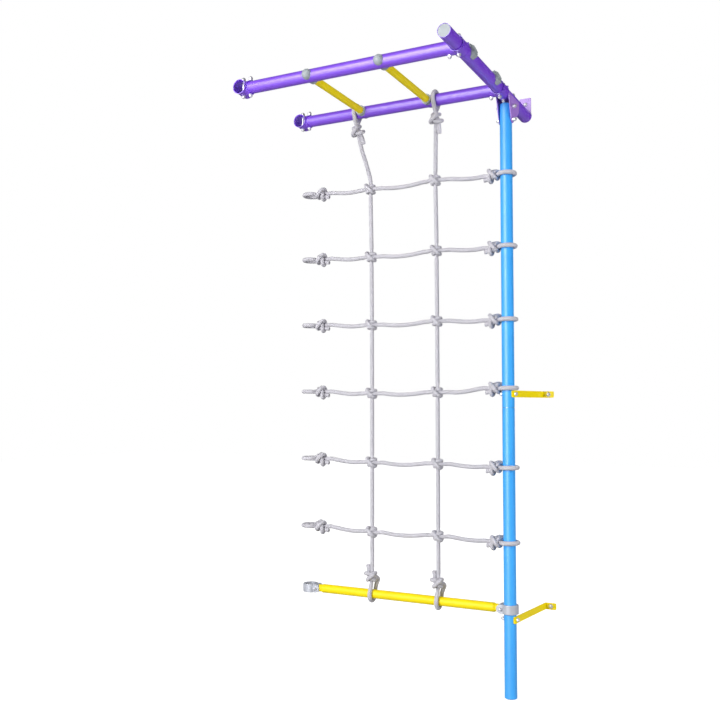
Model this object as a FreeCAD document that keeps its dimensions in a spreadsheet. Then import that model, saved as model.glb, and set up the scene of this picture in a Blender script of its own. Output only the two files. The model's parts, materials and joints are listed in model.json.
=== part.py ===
"""Cargo climbing net: a wall-fixed side frame (post, arm, two cross tubes, bottom bar) that carries a
knotted rope net beside a climbing ladder.  Millimetres.

Frame: origin at the centre of the post's foot on the floor, +X away from the ladder, +Y towards the
wall, +Z up.  The ladder's own post stands at X = -bay_width, and the wall face is at Y = wall_y.
"""
import FreeCAD
import Part
import math
import os
import re
import Sketcher
from FreeCAD import Placement, Rotation, Vector

DRIVING_SIZES = {
    # bay and heights
    "bay_width": 830,           # ladder post axis to net post axis
    "rung_pitch": 270,          # the ladder's rung spacing, which the net's rows repeat
    "rung_offset": 9,           # rung levels above whole pitches from the floor
    "arm_height": 2196.5,       # axis of the arm and cross tubes above the floor
    "front_tube_y": -496,
    "rear_tube_y": -74,
    "wall_y": 262,
    "arm_front_y": -628,
    "bar_height": 315,          # axis of the bottom bar above the floor
    # tubes
    "tube_dia": 45,
    "tube_wall": 1.5,
    "slip_gap": 0.1,            # radial gap between a tube and what is clamped round it
    "bar_dia": 34,
    "bar_neck_dia": 28.4,
    "bar_wall": 2,
    "bar_end_gap": 24,          # bar end to post axis
    "bar_neck_length": 35,      # neck and taper together
    "bar_taper": 6,
    "rung_dia": 27,
    # post
    "post_top": 2162,
    "post_seam": 1039,
    "seam_groove": 1,
    "joint_sleeve_half": 100,
    "joint_sleeve_wall": 2,
    "foot_cap_height": 6,
    "plug_depth": 22,
    "plug_wall": 2.5,
    "foot_cap_edge": 2,
    "arm_cap_edge": 0.5,
    "arm_cap_thick": 3,
    "arm_cap_recess": 1,        # outer face inside the arm's front end
    "arm_wall_gap": 1,          # rear end of the arm to the wall plate
    # two-shell clamps
    "shell_wall": 2.5,
    "shell_split": 1.5,
    "sleeve_half": 29,          # half length of the clamp along the arm
    "flare_length": 5,
    "flare_rise": 1.6,
    "tongue_reach": 40,         # clamp edge to arm axis, over and under the cross tube
    "tongue_waist": 28,         # the same at the sides
    "inboard_bolt": 31,         # second clamp bolt to arm axis
    "set_screw_dia": 6,
    "set_screw_length": 6.5,
    "set_screw_dome_centre": 4,
    "set_screw_tilt": 27,       # degrees above and below the split
    "set_screw_shift": 20,      # along the arm, from the cross tube's axis
    "cope_gap": 0.5,
    "cope_nose": 12,            # cross tube end to arm axis
    # fasteners
    "bolt_dia": 8,
    "bolt_hole": 8.4,
    "dome_dia": 15,
    "dome_base": 2.5,
    "tall_dome_base": 9,        # of the bolts through clamps and bracket
    "nut_flats": 13,
    "nut_base": 5,
    "nut_dome_inset": 0.2,
    "thread_in_nut": 7,
    "thread_gap": 0.05,
    "head_gap": 0.1,
    # rung ends
    "collar_dia": 38,
    "collar_thick": 9,
    "collar_seat": 5,
    "cap_dia": 37,
    "cap_sink": 4.5,
    "cap_recess_gap": 0.5,
    "cap_cover_gap": 0.8,
    "screw_head_dia": 13,
    "screw_head_height": 5,
    "insert_length": 25,
    "insert_past_screw": 5,
    # plugs in the arm's spare holes
    "front_plug_y": -420,
    "rear_plug_y": -167,
    "plug_tilt": 24,            # degrees above the horizontal, on the side away from the ladder
    "plug_hole_dia": 30,
    "plug_dia": 50,
    "plug_step": 3.5,
    "plug_ring": 5,
    "plug_stack": 8,
    "plug_peg_start": 6.5,      # inside the tube's surface
    "plug_peg_length": 8.5,
    "plug_peg_gap": 0.2,
    # wall bracket
    "saddle_front_y": -44,
    "saddle_lip": 1,
    "saddle_flat": 24,          # flat side of the trough to the arm axis
    "saddle_bolt_front": -28,
    "saddle_bolt_rear": 94,
    "plate_thick": 3,
    "plate_width": 46,
    "plate_top": 72,            # above the arm axis
    "plate_screw": 47,          # above the arm axis
    "plate_corner": 3,
    "cheek_front_y": -44,
    "cheek_rear_y": 88,
    "cheek_nose_dia": 27,
    "cheek_overlap": 4,         # top edge of the cheeks below the arm axis
    "cheek_step": 3,            # rear corner above the upper post bolt
    "cheek_rear_corner": 45,
    "post_bolt_low": 2103,
    "post_bolt_high": 2152,
    # wall straps
    "strap_height": 25,
    "strap_thick": 3,
    "strap_low": 279,
    "strap_high": 1089,
    "strap_hook": 44,           # degrees of wrap round the post
    "strap_straight": 9,
    "strap_bend_x": 60,
    "strap_post_bend": 9,
    "strap_wall_bend": 6,
    "strap_tab_end": 101,
    "strap_tab_screw": 80,
    "strap_corner": 5,
    # wall screws
    "wall_screw_dia": 8,
    "wall_screw_free": 40,
    "wall_screw_point": 2,
    "wall_screw_shoulder_dia": 8.4,
    "wall_screw_shoulder_out": 0.5,     # shoulder past the wall face
    "wall_screw_hole_gap": 0.5,
    "wall_screw_rim": 1.5,
    "wall_screw_head_dia": 17,
    # bottom bar clamps
    "bar_clamp_dia": 61,
    "bar_clamp_height": 33,
    "bar_clamp_split": 1,
    "bar_ear_centre": 31,       # clamp bolt to post axis
    "bar_ear_half": 20,
    "bar_clamp_edge": 2.5,
    "hook_tab_thick": 3.6,
    "hook_tab_length": 12,
    "hook_tab_root": 5,
    "hook_tab_height": 9.6,
    "hook_tab_low": 1.2,
    "hook_tab_cover": 2,        # clamp wall left between the post and the hook
    "hook_slack": 0.2,
    "hook_end_slack": 0.5,
    "hook_height_slack": 0.7,
    # rope
    "rope_dia": 16,
    "rope_gap": 0.5,
    "knot_dia": 34,
    "tie_knot_reach": 47,       # tie knot to post axis
    "left_tie_rise": 14,        # tie loops above the row's nominal level
    "right_tie_rise": 3,
    "tie_stub": 96,             # end of the rope stub to post axis
    "tail_reach": 86,
    "top_tie_shift": 28,        # top tie to the overhead rung's axis
    "top_knot_drop": 68,        # top knot below the rear tube's axis
    "top_stub_drop": 140,
    "top_tail_drop": 128,
    "bottom_knot_rise": 66,
    "bottom_stub_rise": 130,
    "bottom_tail_rise": 112,
    "rope_cut": 4,              # gap where a net rope meets its tie
    "turn_pitch": 19,           # rise of one turn of a row rope round a vertical rope
    "row_count": 6,
    "left_crossing_rise": 5,    # knots above the row's nominal level
    "right_crossing_rise": 8,
    "row_sag": 7,
    "top_row_forward": 12,      # how far the top row is drawn towards the rear tube
}

ALONG_X = Rotation(Vector(0, 1, 0), 90)
ALONG_Y = Rotation(Vector(1, 0, 0), -90)
ALONG_Z = Rotation()
AGAINST_X = Rotation(Vector(0, 1, 0), -90)
AGAINST_Y = Rotation(Vector(1, 0, 0), 90)
AGAINST_Z = Rotation(Vector(1, 0, 0), 180)

document = FreeCAD.newDocument("cargo_climbing_net")
sheet = document.addObject("Spreadsheet::Sheet", "Dims")
for line, (alias, number) in enumerate(DRIVING_SIZES.items(), start=1):
    sheet.set(f"A{line}", alias)
    sheet.set(f"B{line}", str(number))
    sheet.setAlias(f"B{line}", alias)
document.recompute()

finished = []


def size(formula):
    """The present value of a formula written in the sheet's aliases."""
    return float(sheet.evalExpression(str(formula)))


def bound(formula):
    """The same formula, as an expression another object can hold."""
    return re.sub(r"\b(?=[a-z]+_)([a-z_]+)\b", r"Dims.\1", str(formula))


def bind(item, **formulas):
    for name, formula in formulas.items():
        item.setExpression(name, bound(formula))
    return item


def place(item, rotation, x=0, y=0, z=0):
    item.Placement = Placement(Vector(), rotation)
    for axis, formula in zip("xyz", (x, y, z)):
        item.setExpression(f"Placement.Base.{axis}", bound(formula))
    return item


def rod(name, rotation, radius, length, x=0, y=0, z=0):
    """A solid cylinder that starts at the point given and runs the way the rotation turns +Z."""
    item = bind(document.addObject("Part::Cylinder", name), Radius=radius, Height=length)
    return place(item, rotation, x, y, z)


def cone(name, rotation, start_radius, end_radius, length, x=0, y=0, z=0):
    item = document.addObject("Part::Cone", name)
    bind(item, Radius1=start_radius, Radius2=end_radius, Height=length)
    return place(item, rotation, x, y, z)


def ball(name, radius, x=0, y=0, z=0):
    item = bind(document.addObject("Part::Sphere", name), Radius=radius)
    return place(item, ALONG_Z, x, y, z)


def block(name, length, width, height, x=0, y=0, z=0):
    item = document.addObject("Part::Box", name)
    bind(item, Length=length, Width=width, Height=height)
    return place(item, ALONG_Z, x, y, z)


def fuse(name, *items):
    item = document.addObject("Part::MultiFuse", name)
    item.Shapes = list(items)
    item.Refine = True
    return item


def cut(name, base, *tools):
    item = document.addObject("Part::Cut", name)
    item.Base = base
    item.Tool = tools[0] if len(tools) == 1 else fuse(name + "_tools", *tools)
    item.Refine = True
    return item


def common(name, *items):
    item = document.addObject("Part::MultiCommon", name)
    item.Shapes = list(items)
    item.Refine = True
    return item


def copy_at(master, name, rotation, x=0, y=0, z=0):
    item = document.addObject("App::Link", name)
    item.LinkedObject = master
    return place(item, rotation, x, y, z)


def gather(name, items):
    """One node of several separate solids."""
    item = document.addObject("Part::Compound", name)
    item.Links = list(items)
    return item


def soften(name, base, radius, chosen, kind="Part::Fillet"):
    """Fillet (or chamfer) the edges of base that the test `chosen` picks."""
    document.recompute()
    item = document.addObject(kind, name)
    item.Base = base
    amount = size(radius)
    numbers = [n for n, edge in enumerate(base.Shape.Edges, start=1) if chosen(edge)]
    item.Edges = [(n, amount, amount) for n in numbers]
    return item


def keep(item, label):
    item.Label = label
    finished.append(item)
    return item


def solid_feature(name, shape):
    item = document.addObject("Part::Feature", name)
    item.Shape = shape
    item.Placement = Placement()
    return item


def origin_plane(body, role):
    return next(part for part in body.Origin.OriginFeatures if part.Role == role)


def turned(name, outline):
    """A PartDesign body turned about +Z.  outline is the half section as (radius, height) formulas,
    in order, with None for the radius of a point on the axis; an entry of ("dome", height) makes the
    next stretch an arc about a centre on the axis at that height."""
    body = document.addObject("PartDesign::Body", name)
    sketch = body.newObject("Sketcher::SketchObject", name + "_section")
    sketch.AttachmentSupport = [(origin_plane(body, "XZ_Plane"), "")]
    sketch.MapMode = "FlatFace"
    corners = [entry for entry in outline if entry[0] != "dome"]
    centres = {}
    count = 0
    for entry in outline:
        if entry[0] == "dome":
            centres[count - 1] = entry[1]
        else:
            count += 1
    points = [Vector(size(radius or 0), size(height), 0) for radius, height in corners]
    for index, start in enumerate(points):
        end = points[(index + 1) % len(points)]
        if index in centres:
            centre = Vector(0, size(centres[index]), 0)
            radius = (start - centre).Length
            circle = Part.Circle(centre, Vector(0, 0, 1), radius)
            first = math.atan2(start.y - centre.y, start.x)
            last = math.atan2(end.y - centre.y, end.x)
            sketch.addGeometry(Part.ArcOfCircle(circle, min(first, last), max(first, last)))
        else:
            sketch.addGeometry(Part.LineSegment(start, end))
    for index in range(len(points)):
        following = (index + 1) % len(points)
        leaving = end_of(index, points, centres)
        arriving = start_of(following, points, centres)
        sketch.addConstraint(Sketcher.Constraint("Coincident", index, leaving, following, arriving))
    for index, (radius, height) in enumerate(corners):
        vertex = start_of(index, points, centres)
        if radius is None:
            sketch.addConstraint(Sketcher.Constraint("PointOnObject", index, vertex, -2))
        else:
            rule = Sketcher.Constraint("DistanceX", -1, 1, index, vertex, size(radius))
            number = sketch.addConstraint(rule)
            sketch.setExpression(f"Constraints[{number}]", bound(radius))
        if size(height) == 0:
            sketch.addConstraint(Sketcher.Constraint("PointOnObject", index, vertex, -1))
        else:
            rule = Sketcher.Constraint("DistanceY", -1, 1, index, vertex, size(height))
            number = sketch.addConstraint(rule)
            sketch.setExpression(f"Constraints[{number}]", bound(height))
    for index in centres:
        sketch.addConstraint(Sketcher.Constraint("PointOnObject", index, 3, -2))
    turn = body.newObject("PartDesign::Revolution", name + "_turn")
    turn.Profile = sketch
    turn.ReferenceAxis = (sketch, ["V_Axis"])
    turn.Angle = 360
    return body


def rises(index, points, centres):
    """Whether stretch `index` is an arc that the sketch stores from its far end."""
    if index not in centres:
        return False
    start = points[index]
    end = points[(index + 1) % len(points)]
    height = size(centres[index])
    return math.atan2(end.y - height, end.x) < math.atan2(start.y - height, start.x)


def start_of(index, points, centres):
    return 2 if rises(index, points, centres) else 1


def end_of(index, points, centres):
    return 1 if rises(index, points, centres) else 2


# ---------------------------------------------------------------- formulas used by several pieces
TUBE_R = "tube_dia / 2"
GRIP_R = "(tube_dia / 2 + slip_gap)"
SHELL_R = "(tube_dia / 2 + slip_gap + shell_wall)"
HOLE_R = "bolt_hole / 2"
PLUG_R = "(tube_dia / 2 - tube_wall - slip_gap)"
ARM_END_Y = "(wall_y - plate_thick - arm_wall_gap)"
LEFT_THIRD = "(-bay_width * 2 / 3)"
RIGHT_THIRD = "(-bay_width / 3)"
CROSSINGS = [("front", "front_tube_y"), ("rear", "rear_tube_y")]
ARMS = [("left", "-bay_width", 1), ("right", "0", -1)]


# ---------------------------------------------------------------- fasteners, made once and repeated
def dome_bolt(name, grip, base):
    """Domed bolt with its tip at the origin and its head up +Z; grip is head to nut, base the height
    of the head below its dome."""
    reach = f"({grip} + thread_in_nut)"
    return turned(name, [
        (None, "0"),
        ("bolt_dia / 2", "0"),
        ("bolt_dia / 2", reach),
        ("dome_dia / 2", reach),
        ("dome_dia / 2", f"{reach} + {base}"),
        ("dome", f"{reach} + {base}"),
        (None, f"{reach} + {base} + dome_dia / 2"),
    ])


def dome_nut():
    """Acorn nut with its open face at the origin and its dome up +Z."""
    hexagon = document.addObject("Part::Prism", "nut_hexagon")
    hexagon.Polygon = 6
    bind(hexagon, Circumradius="nut_flats / sqrt(3)", Height="nut_base")
    dome = ball("nut_dome", "nut_flats / 2 - nut_dome_inset", z="nut_base")
    bore = rod("nut_bore", ALONG_Z, "bolt_dia / 2 + thread_gap", "thread_in_nut + 1", z="-0.5")
    below = block("nut_below", "dome_dia * 2", "dome_dia * 2", "dome_dia", "-dome_dia", "-dome_dia",
                  "-dome_dia")
    return cut("dome_nut", fuse("nut_blank", hexagon, dome), bore, below)


clamp_grip = f"(2 * ({SHELL_R} + head_gap))"
saddle_grip = f"({TUBE_R} + {SHELL_R} + 2 * head_gap)"
strap_grip = f"({TUBE_R} + {GRIP_R} + strap_thick + 2 * head_gap)"
ear_grip = "(2 * (bar_ear_half + head_gap))"
long_bolt = dome_bolt("long_bolt", clamp_grip, "tall_dome_base")
saddle_bolt = dome_bolt("saddle_bolt", saddle_grip, "tall_dome_base")
strap_bolt = dome_bolt("strap_bolt", strap_grip, "dome_base")
ear_bolt = dome_bolt("ear_bolt", ear_grip, "dome_base")
nut = dome_nut()


# ---------------------------------------------------------------- arm, cross tubes and their plugs
def tube_plug(name, head, shoulder):
    """Round plug: hollow spigot up +Z from the origin, then the solid head; head and shoulder are
    (radius, height) pairs, the heights counted from the end of the spigot."""
    inner = f"({PLUG_R} - plug_wall)"
    spigot = [(inner, "0"), (PLUG_R, "0")]
    outside = [(radius, f"plug_depth + {height}") for radius, height in shoulder + [head]]
    return turned(name, spigot + outside + [(None, f"plug_depth + {head[1]}"), (None, "plug_depth"),
                                            (inner, "plug_depth")])


def make_arm():
    start = "arm_front_y"
    length = f"({ARM_END_Y} - ({start}))"
    wall = rod("arm_outer", ALONG_Y, TUBE_R, length, "0", start, "arm_height")
    bore = rod("arm_bore", ALONG_Y, "tube_dia / 2 - tube_wall", f"{length} + 2", "0",
               f"{start} - 1", "arm_height")
    holes = []
    for number, y in enumerate(["front_tube_y", "rear_tube_y", "saddle_bolt_front",
                                "saddle_bolt_rear"]):
        holes.append(rod(f"arm_bolt_hole_{number}", ALONG_Z, HOLE_R, "tube_dia * 2", "0", y,
                         "arm_height - tube_dia"))
    for number, y in enumerate(["front_plug_y", "rear_plug_y"]):
        holes.append(rod(f"arm_spare_hole_{number}", plug_tilt() * ALONG_X, "plug_hole_dia / 2",
                         "tube_dia", "0", y, "arm_height"))
    keep(cut("arm", wall, bore, *holes), "side_arm")


def plug_tilt():
    return Rotation(Vector(0, 1, 0), -size("plug_tilt"))


def make_arm_cap():
    """Plug pushed wholly inside the arm's front end."""
    plug = tube_plug("arm_plug", (f"{PLUG_R} - arm_cap_edge", "arm_cap_thick"),
                     [(PLUG_R, "arm_cap_thick - arm_cap_edge")])
    front = copy_at(plug, "arm_plug_place", AGAINST_Y, "0",
                    "arm_front_y + arm_cap_recess + arm_cap_thick + plug_depth", "arm_height")
    keep(gather("arm_cap", [front]), "arm_end_cap")


def make_hole_plugs():
    """Stepped plugs that close the arm's spare rung holes, saddled to the tube."""
    steps = []
    for step in range(3):
        steps.append(rod(f"plug_ring_{step}", ALONG_X, f"plug_dia / 2 - plug_ring * {step}",
                         f"{TUBE_R} - plug_stack + plug_step * {step + 1}", "plug_stack"))
    seat = rod("plug_seat", ALONG_Y, GRIP_R, "plug_dia * 2", "0", "-plug_dia", "0")
    saddled = cut("plug_saddled", fuse("plug_stack", *steps), seat)
    peg = rod("plug_peg", ALONG_X, "plug_hole_dia / 2 - plug_peg_gap", "plug_peg_length",
              f"{TUBE_R} - plug_peg_start")
    plug = fuse("hole_plug", saddled, peg)
    places = [copy_at(plug, f"hole_plug_{number}", plug_tilt(), "0", y, "arm_height")
              for number, y in enumerate(["front_plug_y", "rear_plug_y"])]
    keep(gather("hole_plugs", places), "arm_hole_plugs")


def make_cross_tubes():
    length = "(bay_width - 2 * cope_nose)"
    for end, y in CROSSINGS:
        wall = rod(f"{end}_wall", ALONG_X, TUBE_R, length, "-bay_width + cope_nose", y, "arm_height")
        tools = [rod(f"{end}_bore", ALONG_X, "tube_dia / 2 - tube_wall", f"{length} + 2",
                     "-bay_width + cope_nose - 1", y, "arm_height")]
        for side, x, inward in ARMS:
            tools.append(rod(f"{end}_{side}_cope", ALONG_Y, f"{TUBE_R} + cope_gap", "tube_dia * 2", x,
                             f"{y} - tube_dia", "arm_height"))
            tools.append(rod(f"{end}_{side}_bolt_way", ALONG_Z, HOLE_R, "tube_dia * 2",
                             f"{x} + {inward} * inboard_bolt", y, "arm_height - tube_dia"))
        for side, x in [("left", LEFT_THIRD), ("right", RIGHT_THIRD)]:
            tools.append(rod(f"{end}_{side}_screw_way", ALONG_Y, HOLE_R, "tube_dia * 2", x,
                             f"{y} - tube_dia", "arm_height"))
        keep(cut(f"{end}_tube", wall, *tools), f"{end}_cross_tube")


# ---------------------------------------------------------------- two-shell tube clamps
def make_clamp_shell():
    """Upper shell at the origin: sleeve along Y over the arm, tongue towards -X over the cross tube."""
    flare_start = "(sleeve_half - flare_length)"
    outside = [rod("shell_sleeve", ALONG_Y, SHELL_R, "2 * sleeve_half", "0", "-sleeve_half"),
               rod("shell_tongue", AGAINST_X, SHELL_R, "tongue_reach")]
    inside = [rod("shell_sleeve_bore", ALONG_Y, GRIP_R, "2 * sleeve_half + 2", "0",
                  "-sleeve_half - 1"),
              rod("shell_tongue_bore", AGAINST_X, GRIP_R, "tongue_reach + 1")]
    for name, way, sign in [("rear", ALONG_Y, 1), ("front", AGAINST_Y, -1)]:
        y = f"{sign} * {flare_start}"
        outside.append(cone(f"shell_{name}_flare", way, SHELL_R, f"{SHELL_R} + flare_rise",
                            "flare_length", "0", y))
        inside.append(cone(f"shell_{name}_flare_bore", way, GRIP_R, f"{GRIP_R} + flare_rise * 1.2",
                           "flare_length * 1.2", "0", y))
    waist = f"(((tongue_reach - tongue_waist) ^ 2 + {SHELL_R} ^ 2) / (2 * (tongue_reach - tongue_waist)))"
    tools = [rod("shell_waist", ALONG_Y, waist, "4 * tube_dia", f"-tongue_waist - {waist}",
                 "-2 * tube_dia"),
             rod("shell_arm_bolt", ALONG_Z, HOLE_R, "tube_dia"),
             rod("shell_tube_bolt", ALONG_Z, HOLE_R, "tube_dia", "-inboard_bolt"),
             rod("shell_screw_way", set_screw_way(), "set_screw_dia / 2 + thread_gap", "tube_dia", "0",
                 "set_screw_shift")]
    upper = block("shell_upper_side", "4 * tube_dia", "4 * tube_dia", "tube_dia", "-2 * tube_dia",
                  "-2 * tube_dia", "shell_split / 2")
    hollow = cut("shell_hollow", fuse("shell_outside", *outside), *inside)
    return cut("shell", common("shell_half", hollow, upper), *tools)


def set_screw_way():
    return Rotation(Vector(0, 1, 0), 90 - size("set_screw_tilt"))


def turned_about_z(degrees):
    return Rotation(Vector(0, 0, 1), degrees)


def make_clamps():
    shell = make_clamp_shell()
    crown = "sqrt((set_screw_dia / 2) ^ 2 + (set_screw_length - set_screw_dome_centre) ^ 2)"
    screw = turned("set_screw", [
        (None, "0"),
        ("set_screw_dia / 2", "0"),
        ("set_screw_dia / 2", "set_screw_length"),
        ("dome", "set_screw_dome_centre"),
        (None, f"set_screw_dome_centre + {crown}"),
    ])
    bolts = []
    nuts = []
    screws = []
    for end, y in CROSSINGS:
        for side, x, inward in ARMS:
            about = turned_about_z(180 if inward > 0 else 0)
            for half, flip in [("upper", ALONG_Z), ("lower", AGAINST_Z)]:
                label = f"{end}_{side}_clamp_{half}"
                turn = about * flip
                piece = copy_at(shell, f"{label}_place", turn, x, y, "arm_height")
                keep(gather(f"{label}_shell", [piece]), label)
                tip = turn.multVec(Vector(0, size("set_screw_shift"), 0))
                way = turn.multVec(set_screw_way().multVec(Vector(0, 0, 1)))
                foot = tip + way * size(f"{GRIP_R} + 0.1")
                screws.append(copy_at(screw, f"{label}_screw", turn * set_screw_way(),
                                      f"{x} + {foot.x:.4f}", f"{y} + {foot.y:.4f}",
                                      f"arm_height + {foot.z:.4f}"))
            for number, shift in enumerate(["0", "inboard_bolt"]):
                place_x = f"{x} + {inward} * {shift}"
                low = f"arm_height - {SHELL_R} - head_gap"
                bolts.append(copy_at(long_bolt, f"{end}_{side}_bolt_{number}", ALONG_Z, place_x, y,
                                     f"{low} - thread_in_nut"))
                nuts.append(copy_at(nut, f"{end}_{side}_nut_{number}", AGAINST_Z, place_x, y, low))
    keep(gather("clamp_bolt_set", bolts), "clamp_bolts")
    keep(gather("clamp_nut_set", nuts), "clamp_nuts")
    keep(gather("clamp_screw_set", screws), "clamp_set_screws")


# ---------------------------------------------------------------- overhead rungs
def make_rungs():
    start = f"(front_tube_y + {TUBE_R} + collar_thick - collar_seat)"
    end = f"(rear_tube_y - {TUBE_R} - collar_thick + collar_seat)"
    seat = f"({TUBE_R} + collar_thick - collar_seat)"
    screw_reach = f"({TUBE_R} + head_gap + {seat} + insert_length - insert_past_screw)"
    collar = cut("rung_collar", rod("collar_blank", ALONG_Y, "collar_dia / 2", f"{TUBE_R} + collar_thick"),
                 rod("collar_saddle", ALONG_X, GRIP_R, "collar_dia * 2", "-collar_dia"),
                 rod("collar_pocket", ALONG_Y, "rung_dia / 2 + slip_gap", "tube_dia", "0", seat),
                 rod("collar_way", ALONG_Y, HOLE_R, "tube_dia * 2"))
    cap = cut("screw_cap", ball("cap_ball", "cap_dia / 2", z=f"{TUBE_R} - cap_sink"),
              rod("cap_saddle", ALONG_X, GRIP_R, "cap_dia * 2", "-cap_dia"),
              rod("cap_recess", ALONG_Z, "screw_head_dia / 2 + cap_recess_gap",
                  f"{TUBE_R} + screw_head_height + cap_cover_gap"))
    insert = cut("rung_insert", rod("insert_blank", ALONG_Y,
                                    "rung_dia / 2 - tube_wall - slip_gap / 2", "insert_length"),
                 rod("insert_thread", ALONG_Y, "bolt_dia / 2 + thread_gap", "insert_length + 2", "0",
                     "-1"))
    screw = turned("rung_screw", [
        (None, "0"),
        ("bolt_dia / 2", "0"),
        ("bolt_dia / 2", screw_reach),
        ("screw_head_dia / 2", screw_reach),
        ("screw_head_dia / 2", f"{screw_reach} + screw_head_height"),
        (None, f"{screw_reach} + screw_head_height"),
    ])
    collars = []
    caps = []
    inserts = []
    screws = []
    facing_back = turned_about_z(180)
    for side, x in [("left", LEFT_THIRD), ("right", RIGHT_THIRD)]:
        wall = rod(f"{side}_rung_wall", ALONG_Y, "rung_dia / 2", f"{end} - {start}", x, start,
                   "arm_height")
        bore = rod(f"{side}_rung_bore", ALONG_Y, "rung_dia / 2 - tube_wall", f"{end} - {start} + 2", x,
                   f"{start} - 1", "arm_height")
        keep(cut(f"{side}_rung", wall, bore), f"rung_{side}")
        collars.append(copy_at(collar, f"{side}_front_collar", ALONG_Z, x, "front_tube_y",
                               "arm_height"))
        collars.append(copy_at(collar, f"{side}_rear_collar", facing_back, x, "rear_tube_y",
                               "arm_height"))
        caps.append(copy_at(cap, f"{side}_front_cap", AGAINST_Y, x, "front_tube_y", "arm_height"))
        caps.append(copy_at(cap, f"{side}_rear_cap", ALONG_Y, x, "rear_tube_y", "arm_height"))
        inserts.append(copy_at(insert, f"{side}_front_insert", ALONG_Z, x, start, "arm_height"))
        inserts.append(copy_at(insert, f"{side}_rear_insert", facing_back, x, end, "arm_height"))
        front_tip = f"front_tube_y - {TUBE_R} - head_gap + {screw_reach}"
        rear_tip = f"rear_tube_y + {TUBE_R} + head_gap - {screw_reach}"
        screws.append(copy_at(screw, f"{side}_front_screw", AGAINST_Y, x, front_tip, "arm_height"))
        screws.append(copy_at(screw, f"{side}_rear_screw", ALONG_Y, x, rear_tip, "arm_height"))
    keep(gather("collar_set", collars), "rung_collars")
    keep(gather("cap_set", caps), "rung_screw_caps")
    keep(gather("insert_set", inserts), "rung_end_inserts")
    keep(gather("screw_set", screws), "rung_screws")


# ---------------------------------------------------------------- post
def make_post():
    pieces = [("lower", "foot_cap_height", "(post_seam - seam_groove / 2)", ["strap_low"]),
              ("upper", "(post_seam + seam_groove / 2)", "post_top",
               ["strap_high", "post_bolt_low", "post_bolt_high"])]
    for name, bottom, top, holes in pieces:
        wall = rod(f"post_{name}_wall", ALONG_Z, TUBE_R, f"{top} - {bottom}", "0", "0", bottom)
        tools = [rod(f"post_{name}_bore", ALONG_Z, "tube_dia / 2 - tube_wall",
                     f"{top} - {bottom} + 2", "0", "0", f"{bottom} - 1")]
        for number, height in enumerate(holes):
            tools.append(rod(f"post_{name}_hole_{number}", ALONG_X, HOLE_R, "tube_dia * 2",
                             "-tube_dia", "0", height))
        tube = cut(f"post_{name}", wall, *tools)
        seam = size(top if name == "lower" else bottom)
        rounded = soften(f"post_{name}_eased", tube, "tube_wall / 2", lambda edge: (
            is_circle(edge, size(TUBE_R)) and abs(edge.CenterOfMass.z - seam) < 0.01),
            kind="Part::Chamfer")
        keep(rounded, f"post_{name}_tube")
    sleeve_r = PLUG_R
    half = "joint_sleeve_half"
    wall = rod("sleeve_wall", ALONG_Z, sleeve_r, f"2 * {half}", "0", "0", f"post_seam - {half}")
    bore = rod("sleeve_bore", ALONG_Z, f"{sleeve_r} - joint_sleeve_wall", f"2 * {half} + 2", "0", "0",
               f"post_seam - {half} - 1")
    way = rod("sleeve_way", ALONG_X, HOLE_R, "tube_dia * 2", "-tube_dia", "0", "strap_high")
    keep(cut("sleeve", wall, bore, way), "post_joint_sleeve")
    foot = tube_plug("foot_plug", (f"{TUBE_R} - foot_cap_edge", "foot_cap_height"),
                     [(PLUG_R, "0"), (TUBE_R, "0"), (TUBE_R, "foot_cap_height - foot_cap_edge")])
    keep(gather("foot_cap", [copy_at(foot, "foot_plug_place", AGAINST_Z, "0", "0",
                                     "foot_cap_height + plug_depth")]), "post_foot_cap")


def is_circle(edge, radius):
    return isinstance(edge.Curve, Part.Circle) and abs(edge.Curve.Radius - radius) < 0.01


# ---------------------------------------------------------------- bracket between post, arm and wall
def make_saddle():
    start = "saddle_front_y"
    length = "(wall_y - plate_thick - saddle_front_y)"
    wall = rod("saddle_wall", ALONG_Y, SHELL_R, length, "0", start, "arm_height")
    lower = block("saddle_lower_side", "2 * saddle_flat", f"{length} + 2", "tube_dia + saddle_lip",
                  "-saddle_flat", f"{start} - 1", "arm_height - tube_dia")
    tools = [rod("saddle_bore", ALONG_Y, GRIP_R, f"{length} + 2", "0", f"{start} - 1", "arm_height")]
    for number, y in enumerate(["saddle_bolt_front", "saddle_bolt_rear"]):
        tools.append(rod(f"saddle_way_{number}", ALONG_Z, HOLE_R, "tube_dia * 2", "0", y,
                         "arm_height - tube_dia"))
    keep(cut("saddle", common("saddle_trough", wall, lower), *tools), "bracket_saddle")


def tangent_point(outside, centre, radius, side):
    """Where the line from `outside` touches the circle; side is +1 or -1."""
    reach = outside - centre
    lean = math.acos(radius / reach.Length) * side
    aim = math.atan2(reach.z, reach.y) + lean
    return centre + Vector(0, math.cos(aim), math.sin(aim)) * radius


def cheek_blank():
    """Fin-shaped plate in the YZ plane that narrows to a round nose about the lower post bolt."""
    top = size("arm_height - cheek_overlap")
    radius = size("cheek_nose_dia / 2")
    nose = Vector(0, 0, size("post_bolt_low"))
    front = Vector(0, size("cheek_front_y"), top)
    rear_top = Vector(0, size("cheek_rear_y"), top)
    rear_low = Vector(0, size("cheek_rear_y"), size("post_bolt_high + cheek_step"))
    front_touch = tangent_point(front, nose, radius, 1)
    rear_touch = tangent_point(rear_low, nose, radius, -1)
    lowest = nose + Vector(0, 0, -radius)
    edges = [Part.makeLine(front, front_touch), Part.Arc(front_touch, lowest, rear_touch).toShape(),
             Part.makeLine(rear_touch, rear_low), Part.makeLine(rear_low, rear_top),
             Part.makeLine(rear_top, front)]
    plate = Part.Face(Part.Wire(edges)).extrude(Vector(size("shell_wall"), 0, 0))
    corner = [edge for edge in plate.Edges if all(
        abs(vertex.Y - rear_low.y) < 0.01 and abs(vertex.Z - rear_low.z) < 0.01
        for vertex in edge.Vertexes)]
    return plate.makeFillet(size("cheek_rear_corner"), corner)


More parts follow.
